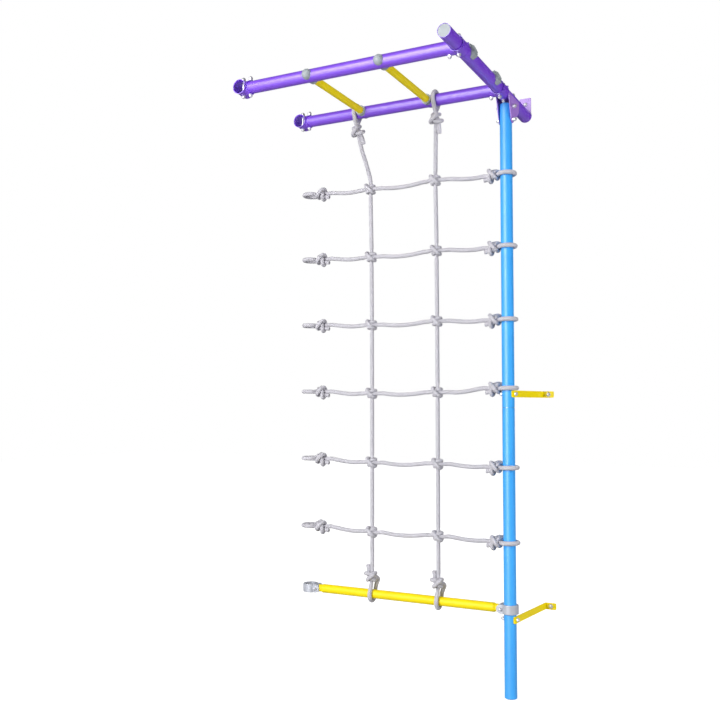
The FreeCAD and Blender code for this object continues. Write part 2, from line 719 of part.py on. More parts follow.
def make_cheeks():
    for side, start in [("left", f"-{SHELL_R}"), ("right", GRIP_R)]:
        plate = solid_feature(f"{side}_cheek_plate", cheek_blank())
        place(plate, ALONG_Z, start)
        tools = [rod(f"{side}_cheek_relief", ALONG_Y, f"{SHELL_R} + 0.05", "tube_dia * 6", "0",
                     "-tube_dia * 2", "arm_height")]
        for number, height in enumerate(["post_bolt_low", "post_bolt_high"]):
            tools.append(rod(f"{side}_cheek_way_{number}", ALONG_X, HOLE_R, "tube_dia * 2",
                             "-tube_dia", "0", height))
        keep(cut(f"{side}_cheek", plate, *tools), f"bracket_cheek_{side}")


def make_wall_plate():
    front = "(wall_y - plate_thick)"
    upright = block("plate_upright", "plate_width", "plate_thick", "plate_top", "-plate_width / 2",
                    front, "arm_height")
    round_end = rod("plate_round_end", ALONG_Y, SHELL_R, "plate_thick", "0", front, "arm_height")
    way = rod("plate_way", ALONG_Y, "wall_screw_dia / 2 + wall_screw_hole_gap", "plate_thick + 2",
              "0", f"{front} - 1", "arm_height + plate_screw")
    plate = cut("plate", fuse("plate_blank", upright, round_end), way)
    top = size("arm_height + plate_top")
    keep(soften("plate_eased", plate, "plate_corner", lambda edge: (
        abs(edge.CenterOfMass.z - top) < 0.01 and edge.Length < size("plate_thick") + 0.01)),
        "wall_plate")


def make_bracket_fasteners():
    low = f"arm_height - {SHELL_R} - head_gap"
    bolts = []
    nuts = []
    for number, y in enumerate(["saddle_bolt_front", "saddle_bolt_rear"]):
        bolts.append(copy_at(saddle_bolt, f"saddle_bolt_{number}", ALONG_Z, "0", y,
                             f"{low} - thread_in_nut"))
        nuts.append(copy_at(nut, f"saddle_nut_{number}", AGAINST_Z, "0", y, low))
    keep(gather("saddle_bolt_set", bolts), "saddle_bolts")
    keep(gather("saddle_nut_set", nuts), "saddle_nuts")
    left = f"-{SHELL_R} - head_gap"
    bolts = []
    nuts = []
    for number, height in enumerate(["post_bolt_low", "post_bolt_high"]):
        bolts.append(copy_at(long_bolt, f"post_bolt_{number}", ALONG_X, f"{left} - thread_in_nut",
                             "0", height))
        nuts.append(copy_at(nut, f"post_nut_{number}", AGAINST_X, left, "0", height))
    keep(gather("post_bolt_set", bolts), "post_bolts")
    keep(gather("post_nut_set", nuts), "post_nuts")


# ---------------------------------------------------------------- wall straps and wall screws
def bend_arc(before, corner, after, radius):
    """Tangent arc that rounds a corner: its first, middle and last points."""
    back = (before - corner).normalize()
    ahead = (after - corner).normalize()
    half_angle = back.getAngle(ahead) / 2
    run = radius / math.tan(half_angle)
    centre = corner + (back + ahead).normalize() * (radius / math.sin(half_angle))
    middle = centre + (corner - centre).normalize() * radius
    return corner + back * run, middle, corner + ahead * run


def strap_blank():
    """Flat strip bent in plan: a hook round the post, a straight run to the wall, and a wall tab."""
    thickness = size("strap_thick")
    tall = size("strap_height")
    radius = size(f"{GRIP_R} + strap_thick / 2")
    hook = math.radians(size("strap_hook"))
    wall_line = size("wall_y - strap_thick / 2")
    out = Vector(math.cos(hook), -math.sin(hook), 0)
    hook_end = out * radius
    hook_middle = Vector(radius * math.cos(hook / 2), -radius * math.sin(hook / 2), 0)
    side = Vector(radius, 0, 0)
    leave = Vector(radius, size("strap_straight"), 0)
    bend = Vector(size("strap_bend_x"), wall_line, 0)
    tab = Vector(size("strap_tab_end"), wall_line, 0)
    first = bend_arc(side, leave, bend, size("strap_post_bend"))
    second = bend_arc(leave, bend, tab, size("strap_wall_bend"))
    spine = Part.Wire([
        Part.Arc(hook_end, hook_middle, side).toShape(),
        Part.makeLine(side, first[0]),
        Part.Arc(*first).toShape(),
        Part.makeLine(first[2], second[0]),
        Part.Arc(*second).toShape(),
        Part.makeLine(second[2], tab),
    ])
    corners = [hook_end + out * (thickness / 2 * a) + Vector(0, 0, tall / 2 * b)
               for a, b in [(-1, -1), (1, -1), (1, 1), (-1, 1)]]
    section = Part.makePolygon(corners + corners[:1])
    strip = spine.makePipeShell([section], True, True)
    short = [edge for edge in strip.Edges
             if edge.Length < thickness + 0.01 and isinstance(edge.Curve, Part.Line)]
    return strip.makeFillet(size("strap_corner"), short)


def make_straps():
    bolts = []
    nuts = []
    for name, height in [("upper", "strap_high"), ("lower", "strap_low")]:
        strip = place(solid_feature(f"{name}_strip", strap_blank()), ALONG_Z, z=height)
        post_way = rod(f"{name}_strap_post_way", ALONG_X, HOLE_R, "tube_dia", "0", "0", height)
        wall_way = rod(f"{name}_strap_wall_way", ALONG_Y, "wall_screw_dia / 2 + wall_screw_hole_gap",
                       "strap_thick + 2", "strap_tab_screw", "wall_y - strap_thick - 1", height)
        keep(cut(f"{name}_strap", strip, post_way, wall_way), f"{name}_wall_strap")
        left = f"-{TUBE_R} - head_gap"
        bolts.append(copy_at(strap_bolt, f"{name}_strap_bolt", ALONG_X, f"{left} - thread_in_nut",
                             "0", height))
        nuts.append(copy_at(nut, f"{name}_strap_nut", AGAINST_X, left, "0", height))
    keep(gather("strap_bolt_set", bolts), "strap_bolts")
    keep(gather("strap_nut_set", nuts), "strap_nuts")


def make_wall_screws():
    reach = "(wall_screw_free + strap_thick + head_gap)"
    shoulder = "(wall_screw_free - wall_screw_shoulder_out)"
    dome_centre = f"{reach} + wall_screw_rim - wall_screw_head_dia / 4"
    screw = turned("wall_screw", [
        (None, "0"),
        ("wall_screw_dia / 2", "wall_screw_point"),
        ("wall_screw_dia / 2", shoulder),
        ("wall_screw_shoulder_dia / 2", shoulder),
        ("wall_screw_shoulder_dia / 2", reach),
        ("wall_screw_head_dia / 2", reach),
        ("wall_screw_head_dia / 2", f"{reach} + wall_screw_rim"),
        ("dome", dome_centre),
        (None, f"{dome_centre} + sqrt(5) * wall_screw_head_dia / 4"),
    ])
    places = []
    for name, x, height in [("plate", "0", "arm_height + plate_screw"),
                            ("upper", "strap_tab_screw", "strap_high"),
                            ("lower", "strap_tab_screw", "strap_low")]:
        places.append(copy_at(screw, f"{name}_wall_screw", AGAINST_Y, x, "wall_y + wall_screw_free",
                              height))
    keep(gather("wall_screw_set", places), "wall_screws")


# ---------------------------------------------------------------- bottom bar and its clamps
def make_bottom_bar():
    length = "(bay_width - 2 * bar_end_gap)"
    neck = "bar_neck_dia / 2"
    full = "bar_dia / 2"
    straight = "(bar_neck_length - bar_taper)"
    inner_neck = f"{neck} - bar_wall"
    inner_full = f"{full} - bar_wall"
    taper_shift = "bar_wall / 2"
    bar = turned("bar_blank", [
        (inner_neck, "0"),
        (neck, "0"),
        (neck, straight),
        (full, "bar_neck_length"),
        (full, f"{length} - bar_neck_length"),
        (neck, f"{length} - {straight}"),
        (neck, length),
        (inner_neck, length),
        (inner_neck, f"{length} - {straight} - {taper_shift}"),
        (inner_full, f"{length} - bar_neck_length - {taper_shift}"),
        (inner_full, f"bar_neck_length + {taper_shift}"),
        (inner_neck, f"{straight} + {taper_shift}"),
    ])
    lying = copy_at(bar, "bar_place", ALONG_X, "-bay_width + bar_end_gap", "0", "bar_height")
    ways = [rod(f"bar_way_{side}", ALONG_Y, HOLE_R, "bar_dia * 2", f"{x} + {inward} * bar_ear_centre",
                "-bar_dia", "bar_height") for side, x, inward in ARMS]
    keep(cut("bar", lying, *ways), "bottom_bar")


def make_bar_clamp_half():
    """Front half at the origin, clamping the post's axis Z and the bar's neck towards -X.  A tab by
    the +X side hooks into the other half, which is the same piece turned over."""
    half_tall = "bar_clamp_height / 2"
    outer_r = "bar_clamp_dia / 2"
    band = rod("bar_band", ALONG_Z, outer_r, "bar_clamp_height", "0", "0", f"-{half_tall}")
    rounded = soften("bar_band_eased", band, "bar_clamp_edge",
                     lambda edge: is_circle(edge, size(outer_r)))
    ear = rod("bar_ear", AGAINST_Y, half_tall, "bar_ear_half", "-bar_ear_centre")
    eased = soften("bar_ear_eased", ear, "bar_clamp_edge / 2", lambda edge: (
        is_circle(edge, size(half_tall)) and edge.CenterOfMass.y < -1))
    front = block("bar_front_side", "bar_clamp_dia * 3", "bar_clamp_dia", "bar_clamp_dia",
                  "-bar_clamp_dia * 2", "-bar_clamp_dia - bar_clamp_split / 2", "-bar_clamp_dia / 2")
    tab_x = f"({GRIP_R} + hook_tab_cover)"
    notch = block("bar_half_notch", "hook_tab_thick + 2 * hook_slack",
                  "hook_tab_length - hook_tab_root + 2 * hook_end_slack",
                  "hook_tab_height + 2 * hook_height_slack", f"{tab_x} - hook_slack",
                  "hook_tab_root - hook_tab_length - hook_end_slack",
                  "-hook_tab_low - hook_tab_height - hook_height_slack")
    body = cut("bar_half_bored", common("bar_half_blank", fuse("bar_half_solid", rounded, eased), front),
               rod("bar_half_post", ALONG_Z, GRIP_R, "bar_clamp_dia * 2", "0", "0", "-bar_clamp_dia"),
               rod("bar_half_neck", AGAINST_X, "bar_neck_dia / 2 + slip_gap", "bar_clamp_dia * 2"),
               rod("bar_half_way", ALONG_Y, HOLE_R, "bar_clamp_dia * 2", "-bar_ear_centre",
                   "-bar_clamp_dia"),
               notch)
    tab = block("bar_half_tab", "hook_tab_thick", "hook_tab_length", "hook_tab_height", tab_x,
                "-hook_tab_root", "hook_tab_low")
    return fuse("bar_clamp_half", body, tab)


def make_bar_clamps():
    half = make_bar_clamp_half()
    bolts = []
    nuts = []
    turn_over = Rotation(Vector(1, 0, 0), 180)
    for side, x, inward in ARMS:
        about = turned_about_z(180 if inward > 0 else 0)
        for face, turn in [("front", ALONG_Z), ("back", turn_over)]:
            outward = about * (turn if inward < 0 else turn * turn_over)
            piece = copy_at(half, f"bar_clamp_{side}_{face}_place", outward, x, "0", "bar_height")
            label = f"bar_clamp_{side}_{face}"
            keep(gather(f"{label}_half", [piece]), label)
        place_x = f"{x} + {inward} * bar_ear_centre"
        back = "bar_ear_half + head_gap"
        bolts.append(copy_at(ear_bolt, f"bar_bolt_{side}", AGAINST_Y, place_x,
                             f"{back} + thread_in_nut", "bar_height"))
        nuts.append(copy_at(nut, f"bar_nut_{side}", ALONG_Y, place_x, back, "bar_height"))
    keep(gather("bar_bolt_set", bolts), "bar_clamp_bolts")
    keep(gather("bar_nut_set", nuts), "bar_clamp_nuts")


# ---------------------------------------------------------------- rope net
def sweep(edges, frenet=False):
    """Round rope swept along edges that follow on smoothly from one another."""
    first = edges[0]
    start = first.valueAt(first.FirstParameter)
    heading = first.tangentAt(first.FirstParameter)
    section = Part.Wire([Part.Circle(start, heading, size("rope_dia / 2")).toShape()])
    return Part.Wire(edges).makePipeShell([section], True, frenet)


def rope(points, frenet=False):
    """Rope along a smooth curve through the points."""
    curve = Part.BSplineCurve()
    curve.interpolate(points)
    return sweep([curve.toShape()], frenet)


def guided_rope(points, ways):
    """Rope through the points that runs along `ways` at each of them."""
    edges = []
    for start, end, leave, arrive in zip(points, points[1:], ways, ways[1:]):
        third = (end - start).Length / 3
        curve = Part.BezierCurve()
        curve.setPoles([start, start + leave * third, end - arrive * third, end])
        edges.append(curve.toShape())
    return sweep(edges)


def stick(start, end, radius):
    return Part.makeCylinder(radius, (end - start).Length, start, end - start)


def row_level(row):
    """Rows repeat the ladder's rungs; row 1 is the top one."""
    return size("rung_offset") + size("rung_pitch") * (size("row_count") + 2 - row)


def left_tie_height(row):
    return row_level(row) + size("left_tie_rise")


def right_tie_height(row):
    """A tie that would land on the upper wall strap sits just above it instead."""
    wanted = row_level(row) + size("right_tie_rise")
    clear = size("strap_high + strap_height / 2 + rope_dia / 2 + 1")
    on_strap = abs(wanted - size("strap_high")) < size("strap_height")
    return clear if on_strap else wanted


def row_forward(row):
    """The top rows are drawn forward, because the ropes lead up to the rear cross tube."""
    return -size("top_row_forward") * math.exp(1 - row)


def crossing(row, side):
    x = size(LEFT_THIRD if side == "left" else RIGHT_THIRD)
    rise = size("left_crossing_rise" if side == "left" else "right_crossing_rise")
    return Vector(x, row_forward(row), row_level(row) + rise)


def turn_points(centre, step_degrees=30):
    """One and a quarter turns round a vertical rope, from front left to front right, going down."""
    radius = size("rope_dia + rope_gap")
    pitch = size("turn_pitch")
    first, last = 225, 675
    points = []
    for angle in range(first, last + 1, step_degrees):
        aim = math.radians(angle)
        drop = (angle - (first + last) / 2) / 360 * pitch
        points.append(centre + Vector(radius * math.cos(aim), radius * math.sin(aim), -drop))
    return points


def make_row_ropes():
    rows = int(size("row_count"))
    for row in range(1, rows + 1):
        left_end = Vector(size("-bay_width + tie_stub + rope_cut"), 0, left_tie_height(row))
        right_end = Vector(size("-tie_stub - rope_cut"), 0, right_tie_height(row))
        left_turn = turn_points(crossing(row, "left"))
        right_turn = turn_points(crossing(row, "right"))
        sag = Vector(0, 0, -size("row_sag"))
        lead = Vector(size("rope_dia"), 0, 0)
        path = [left_end, left_end + lead, (left_end + left_turn[0]) * 0.5 + sag * 0.6]
        path += left_turn
        path += [(left_turn[-1] + right_turn[0]) * 0.5 + sag]
        path += right_turn
        path += [(right_turn[-1] + right_end) * 0.5 + sag * 0.6, right_end - lead, right_end]
        keep(solid_feature(f"row_{row}", rope(path, frenet=True)), f"row_rope_{row}")


def top_tie_x(side):
    return size(f"{LEFT_THIRD} - top_tie_shift" if side == "left" else f"{RIGHT_THIRD} + top_tie_shift")


def top_tie_points(side):
    knot = Vector(top_tie_x(side), size("rear_tube_y"), size("arm_height - top_knot_drop"))
    lead = crossing(1, side) - knot
    down = lead.z
    stub = knot + lead * ((size("top_knot_drop - top_stub_drop")) / down)
    net_end = knot + lead * ((size("top_knot_drop - top_stub_drop - rope_cut")) / down)
    return knot, stub, net_end


def make_vertical_ropes():
    straight = size("turn_pitch")
    down = Vector(0, 0, -1)
    for side in ["left", "right"]:
        knot, stub, net_end = top_tie_points(side)
        points = [net_end]
        ways = [(stub - knot).normalize()]
        for row in range(1, int(size("row_count")) + 1):
            middle = crossing(row, side)
            points += [middle - down * straight, middle + down * straight]
            ways += [down, down]
        foot = Vector(points[-1].x, 0, size("bar_height + bottom_stub_rise + rope_cut"))
        points.append(foot)
        ways.append(down)
        keep(solid_feature(f"{side}_vertical", guided_rope(points, ways)), f"vertical_rope_{side}")


LOOP_ANGLES = range(70, 291, 22)    # degrees round the tube from the side towards the knot
LEG_SPREAD = 1.75                   # of the loop's legs at the knot, in rope radii
TAIL_THINNESS = 0.95                # a cut tail's radius, in rope radii
TAIL_START = 0.7                    # where a tail leaves its knot, as a share of its way aside
TOP_TAIL_ASIDE = {"left": 0.9, "right": 1}      # in rope diameters
BOTTOM_TAIL_ASIDE = -1.15
ROW_TAIL_START = 0.8


def tie(centre, toward, across, tube_radius, knot, stub_end, tail_start, tail_end):
    """Rope tied round a tube: a loop in the plane of `toward` and `across` whose legs meet at the
    knot, the stub of the standing rope, and the cut tail."""
    rope_r = size("rope_dia / 2")
    loop_r = tube_radius + rope_r + size("rope_gap")
    beside = across * rope_r * LEG_SPREAD
    path = [knot - beside]
    for angle in LOOP_ANGLES:
        aim = math.radians(angle)
        path.append(centre + (toward * math.cos(aim) - across * math.sin(aim)) * loop_r)
    path.append(knot + beside)
    lump = Part.makeSphere(size("knot_dia / 2"), knot)
    pieces = [rope(path), stick(knot, stub_end, rope_r),
              stick(tail_start, tail_end, rope_r * TAIL_THINNESS)]
    return lump.multiFuse(pieces)


def make_tube_ties():
    """Ties of the vertical ropes: over the rear cross tube and under the bottom bar."""
    rise = Vector(0, 0, 1)
    toward_wall = Vector(0, 1, 0)
    tops = []
    bottoms = []
    for side in ["left", "right"]:
        knot, stub, _ = top_tie_points(side)
        axis = Vector(knot.x, knot.y, size("arm_height"))
        aside = Vector(size("rope_dia") * TOP_TAIL_ASIDE[side], 0, 0)
        tail = axis + aside - rise * size("top_tail_drop")
        shape = tie(axis, -rise, toward_wall, size(TUBE_R), knot, stub, knot + aside * TAIL_START,
                    tail)
        tops.append(solid_feature(f"top_tie_{side}", shape))
        x = crossing(int(size("row_count")), side).x
        bar = Vector(x, 0, size("bar_height"))
        knot = bar + rise * size("bottom_knot_rise")
        aside = Vector(size("rope_dia") * BOTTOM_TAIL_ASIDE, 0, 0)
        tail = bar + aside + rise * size("bottom_tail_rise")
        shape = tie(bar, rise, toward_wall, size("bar_dia / 2"), knot,
                    bar + rise * size("bottom_stub_rise"), knot + aside * TAIL_START, tail)
        bottoms.append(solid_feature(f"bottom_tie_{side}", shape))
    keep(gather("top_tie_set", tops), "top_ties")
    keep(gather("bottom_tie_set", bottoms), "bottom_ties")


def make_row_ties():
    """Ties of the rows round the two posts, each with its tail lying under the standing rope."""
    for side, x, inward in [("left", "-bay_width", 1), ("right", "0", -1)]:
        ties = []
        for row in range(1, int(size("row_count")) + 1):
            level = left_tie_height(row) if side == "left" else right_tie_height(row)
            post = Vector(size(x), 0, level)
            bayward = Vector(inward, 0, 0)
            knot = post + bayward * size("tie_knot_reach")
            under = Vector(0, -0.5, -1).normalize() * size("rope_dia")
            shape = tie(post, bayward, Vector(0, 1, 0), size(TUBE_R), knot,
                        post + bayward * size("tie_stub"), knot + under * ROW_TAIL_START,
                        post + bayward * size("tail_reach") + under)
            ties.append(solid_feature(f"{side}_tie_{row}", shape))
        keep(gather(f"{side}_tie_set", ties), f"{side}_row_ties")


# ---------------------------------------------------------------- build, check and write
make_arm()
make_arm_cap()
make_hole_plugs()
make_cross_tubes()
make_clamps()
make_rungs()
make_post()
make_saddle()
make_cheeks()
make_wall_plate()
make_bracket_fasteners()
make_straps()
make_wall_screws()
make_bottom_bar()
make_bar_clamps()
make_row_ropes()
make_vertical_ropes()
make_tube_ties()
make_row_ties()
document.recompute()

failed = [item.Label for item in document.Objects
          if "Invalid" in item.State or "Error" in item.State]
failed += [item.Label for item in finished if item.Shape.isNull() or not item.Shape.isValid()]
if failed:
    raise RuntimeError(f"these objects failed: {failed}")

os.makedirs("parts", exist_ok=True)
for item in finished:
    item.Shape.exportStep(f"parts/{item.Label}.step")
print(f"{len(finished)} sub-parts written")
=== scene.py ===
"""Looks for the cargo climbing net: braided, knotted ropes and painted steel round the CAD."""

import json
import math

import bpy
import numpy as np
from mathutils import Matrix, Vector


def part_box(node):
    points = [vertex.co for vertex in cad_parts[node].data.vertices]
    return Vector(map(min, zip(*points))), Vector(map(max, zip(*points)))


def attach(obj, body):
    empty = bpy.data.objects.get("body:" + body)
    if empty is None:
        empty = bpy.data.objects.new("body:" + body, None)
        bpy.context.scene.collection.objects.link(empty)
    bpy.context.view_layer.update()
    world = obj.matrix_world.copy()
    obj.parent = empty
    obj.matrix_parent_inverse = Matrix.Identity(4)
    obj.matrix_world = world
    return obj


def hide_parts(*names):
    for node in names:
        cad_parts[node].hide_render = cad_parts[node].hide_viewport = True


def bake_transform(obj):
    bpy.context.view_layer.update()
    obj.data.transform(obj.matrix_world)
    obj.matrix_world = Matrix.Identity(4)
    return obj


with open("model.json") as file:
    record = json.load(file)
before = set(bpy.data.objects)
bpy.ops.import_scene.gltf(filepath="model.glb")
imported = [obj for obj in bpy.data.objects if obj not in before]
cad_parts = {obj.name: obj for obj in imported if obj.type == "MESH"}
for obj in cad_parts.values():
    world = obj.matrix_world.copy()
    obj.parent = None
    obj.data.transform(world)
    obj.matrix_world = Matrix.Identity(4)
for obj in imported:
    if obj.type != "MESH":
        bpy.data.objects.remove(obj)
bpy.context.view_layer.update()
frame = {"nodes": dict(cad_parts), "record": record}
nodes = frame["nodes"]
MM = 0.001
STAGE_Z = 0.0


# ------------------------------------------------------------------ positions taken from the frame
def points_of(node):
    mesh = nodes[node].data
    flat = np.empty(len(mesh.vertices) * 3)
    mesh.vertices.foreach_get("co", flat)
    return flat.reshape(-1, 3) / MM


def centre_of(node):
    low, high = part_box(node)
    return np.array((low + high) / 2) / MM


def islands(node):
    """Lowest and highest corner of each separate solid of a node, in mm."""
    points = points_of(node)
    mesh = nodes[node].data
    keys = np.round(points / 0.01).astype(np.int64)
    _, same = np.unique(keys, axis=0, return_inverse=True)
    same = same.ravel()
    parent = np.arange(same.max() + 1)

    def root(item):
        while parent[item] != item:
            parent[item] = parent[parent[item]]
            item = parent[item]
        return item

    for edge in mesh.edges:
        one, other = root(same[edge.vertices[0]]), root(same[edge.vertices[1]])
        if one != other:
            parent[one] = other
    labels = np.array([root(item) for item in range(len(parent))])[same]
    found = [points[labels == label] for label in np.unique(labels)]
    return [(part.min(0), part.max(0)) for part in found]


# ------------------------------------------------------------------ materials
def new_material(name):
    material = bpy.data.materials.new(name)
    material.use_nodes = True
    tree = material.node_tree
    shader = tree.nodes["Principled BSDF"]
    return material, tree, shader


def add(tree, kind, **settings):
    node = tree.nodes.new(kind)
    for name, value in settings.items():
        if name in node.inputs:
            node.inputs[name].default_value = value
        else:
            setattr(node, name, value)
    return node


def noise(tree, scale, detail=3.0, stretch=(1, 1, 1)):
    where = add(tree, "ShaderNodeTexCoord")
    mapping = add(tree, "ShaderNodeMapping")
    mapping.inputs["Scale"].default_value = stretch
    texture = add(tree, "ShaderNodeTexNoise")
    texture.inputs["Scale"].default_value = scale
    texture.inputs["Detail"].default_value = detail
    tree.links.new(where.outputs["Object"], mapping.inputs["Vector"])
    tree.links.new(mapping.outputs["Vector"], texture.inputs["Vector"])
    return texture.outputs["Fac"]


def ramp(tree, factor, low, high, start=0.3, end=0.7):
    node = tree.nodes.new("ShaderNodeValToRGB")
    node.color_ramp.elements[0].position = start
    node.color_ramp.elements[1].position = end
    node.color_ramp.elements[0].color = low
    node.color_ramp.elements[1].color = high
    tree.links.new(factor, node.inputs["Fac"])
    return node.outputs["Color"]


def spread(tree, factor, low, high):
    node = tree.nodes.new("ShaderNodeMapRange")
    node.inputs["From Min"].default_value = 0.3
    node.inputs["From Max"].default_value = 0.7
    node.inputs["To Min"].default_value = low
    node.inputs["To Max"].default_value = high
    tree.links.new(factor, node.inputs["Value"])
    return node.outputs["Result"]


def bump(tree, shader, height, strength, distance):
    node = tree.nodes.new("ShaderNodeBump")
    node.inputs["Strength"].default_value = strength
    node.inputs["Distance"].default_value = distance
    tree.links.new(height, node.inputs["Height"])
    tree.links.new(node.outputs["Normal"], shader.inputs["Normal"])
    return node


def shade(colour, amount):
    return tuple(min(1.0, channel * amount) for channel in colour) + (1.0,)


def painted(name, colour, roughness=0.48, coat=1.0, specular=0.8, coat_ior=1.5):
    """Gloss powder coat: faint mottling, orange peel and small changes in gloss."""
    material, tree, shader = new_material(name)
    broad = noise(tree, 9.0, 2.0)
    tree.links.new(ramp(tree, broad, shade(colour, 0.95), shade(colour, 1.05)),
                   shader.inputs["Base Color"])
    tree.links.new(spread(tree, noise(tree, 60.0), roughness * 0.85, roughness * 1.15),
                   shader.inputs["Roughness"])
    shader.inputs["Coat Weight"].default_value = coat
    shader.inputs["Coat IOR"].default_value = coat_ior
    shader.inputs["Coat Roughness"].default_value = 0.42
    shader.inputs["Specular IOR Level"].default_value = specular
    bump(tree, shader, noise(tree, 620.0, 2.0), 0.12, 0.0004)
    return material


def plastic(name, colour, roughness):
    material, tree, shader = new_material(name)
    tree.links.new(ramp(tree, noise(tree, 30.0), shade(colour, 0.94), shade(colour, 1.05)),
                   shader.inputs["Base Color"])
    tree.links.new(spread(tree, noise(tree, 140.0), roughness * 0.85, roughness * 1.15),
                   shader.inputs["Roughness"])
    bump(tree, shader, noise(tree, 1500.0, 4.0), 0.25, 0.0002)
    return material


def metal(name, colour, roughness, metallic, grain=(1, 1, 1), relief=0.2):
    material, tree, shader = new_material(name)
    tree.links.new(ramp(tree, noise(tree, 45.0, 4.0), shade(colour, 0.92), shade(colour, 1.05)),
                   shader.inputs["Base Color"])
    tree.links.new(spread(tree, noise(tree, 220.0, 4.0, grain), roughness * 0.75, roughness * 1.25),
                   shader.inputs["Roughness"])
    shader.inputs["Metallic"].default_value = metallic
    bump(tree, shader, noise(tree, 900.0, 3.0, grain), relief, 0.0002)
    return material


STRANDS = 8             # strands each way round the rope's cover
CELL_LENGTH = 6.8       # mm along the rope between crossings of the braid
YARNS = 3               # yarns side by side in one strand


def math_node(tree, operation, first, second=None):
    node = tree.nodes.new("ShaderNodeMath")
    node.operation = operation
    for slot, value in enumerate((first, second)):
        if value is None:
            continue
        if isinstance(value, (int, float)):
            node.inputs[slot].default_value = value
        else:
            tree.links.new(value, node.inputs[slot])
    return node.outputs[0]


def rope_cover(name, colour):
    """Braided polyamide cover.  The braid's relief is in the mesh; the nodes add the yarns that lie
    along each strand, painted shade darkening the grooves and the fibre's soft sheen."""
    material, tree, shader = new_material(name)
    uv = add(tree, "ShaderNodeUVMap", uv_map="braid")
    split = add(tree, "ShaderNodeSeparateXYZ")
    tree.links.new(uv.outputs["UV"], split.inputs[0])
    one = math_node(tree, "ADD", split.outputs[0], split.outputs[1])
    other = math_node(tree, "SUBTRACT", split.outputs[0], split.outputs[1])
    parity = math_node(tree, "FLOORED_MODULO", math_node(
        tree, "ADD", math_node(tree, "FLOOR", one), math_node(tree, "FLOOR", other)), 2.0)
    across = tree.nodes.new("ShaderNodeMix")
    tree.links.new(parity, across.inputs["Factor"])
    tree.links.new(one, across.inputs["A"])
    tree.links.new(other, across.inputs["B"])
    stripes = math_node(tree, "SINE", math_node(
        tree, "MULTIPLY", across.outputs["Result"], 2 * math.pi * YARNS))
    relief = add(tree, "ShaderNodeAttribute", attribute_name="relief")
    # painted shade: where the braid's relief is low the colour falls to 12 % of the rope's,
    # standing in for the shade between the strands
    painted_groove_shade = ramp(tree, relief.outputs["Fac"], shade(colour, 0.12), shade(colour, 1.0), 0.15, 0.85)
    mottle = ramp(tree, noise(tree, 70.0, 4.0), (0.93, 0.93, 0.93, 1), (1, 1, 1, 1))
    tint = tree.nodes.new("ShaderNodeMix")
    tint.data_type = "RGBA"
    tint.blend_type = "MULTIPLY"
    tint.inputs["Factor"].default_value = 1.0
    tree.links.new(painted_groove_shade, tint.inputs["A"])
    tree.links.new(mottle, tint.inputs["B"])
    tree.links.new(tint.outputs["Result"], shader.inputs["Base Color"])
    shader.inputs["Roughness"].default_value = 0.62
    shader.inputs["Sheen Weight"].default_value = 0.05
    shader.inputs["Sheen Roughness"].default_value = 0.4
    shader.inputs["Specular IOR Level"].default_value = 0.35
    fibres = math_node(tree, "ADD", math_node(tree, "MULTIPLY", stripes, 0.5),
                       noise(tree, 2600.0, 2.0))
    bump(tree, shader, fibres, 0.35, 0.0003)
    return material


PURPLE = (0.19, 0.040, 0.74)
LILAC = (0.40, 0.19, 0.74)
BLUE = (0.035, 0.40, 1.0)
YELLOW = (0.98, 0.76, 0.0)
GREY = (0.36, 0.40, 0.42)
SILVER = (0.56, 0.58, 0.64)
CHROME = (0.82, 0.82, 0.86)
ROPE = (0.90, 0.88, 0.95)

materials = {
    "purple_paint": painted("purple_powder_coat", PURPLE, coat_ior=1.75),
    "purple_light_paint": painted("lilac_powder_coat", LILAC),
    "blue_paint": painted("blue_powder_coat", BLUE),
    "yellow_paint": painted("yellow_powder_coat", YELLOW, 0.45, 0.1, 0.3),
    "grey_plastic": plastic("grey_moulded_plastic", GREY, 0.42),
    "dark_plastic": plastic("dark_moulded_plastic", (0.03, 0.03, 0.035), 0.5),
    "clamp_metal": metal("cast_clamp", SILVER, 0.4, 0.3),
    "bolt_chrome": metal("bright_fastener", CHROME, 0.3, 0.55, relief=0.05),
    "screw_steel": metal("plain_steel_screw", (0.55, 0.55, 0.57), 0.3, 1.0, (1, 1, 6)),
    "net_rope": rope_cover("braided_rope", ROPE),
}
for part in frame["record"]["subparts"]:
    held = nodes[part["node"]].data.materials
    wanted = materials[part["material_slot"]]
    if len(held):
        for index in range(len(held)):
            held[index] = wanted
    else:
        held.append(wanted)

# ------------------------------------------------------------------ rope paths
ROPE_R = 8.0            # mm, as the CAD rope
CLOSEST = 13.2          # mm between rope centres pressed together in a knot
SAMPLE = 3.0            # mm between the samples a knot is settled with
PUSHES = 3              # times crowded strands are pushed apart after each shortening
X, Y, Z = np.eye(3)


def unit(vector):
    return np.asarray(vector, float) / np.linalg.norm(vector)


def resample(points, step):
    points = np.asarray(points, float)
    lengths = np.linalg.norm(np.diff(points, axis=0), axis=1)
    distance = np.concatenate([[0], np.cumsum(lengths)])
    count = max(2, int(round(distance[-1] / step)) + 1)
    wanted = np.linspace(0, distance[-1], count)
    return np.stack([np.interp(wanted, distance, points[:, k]) for k in range(3)], axis=1)


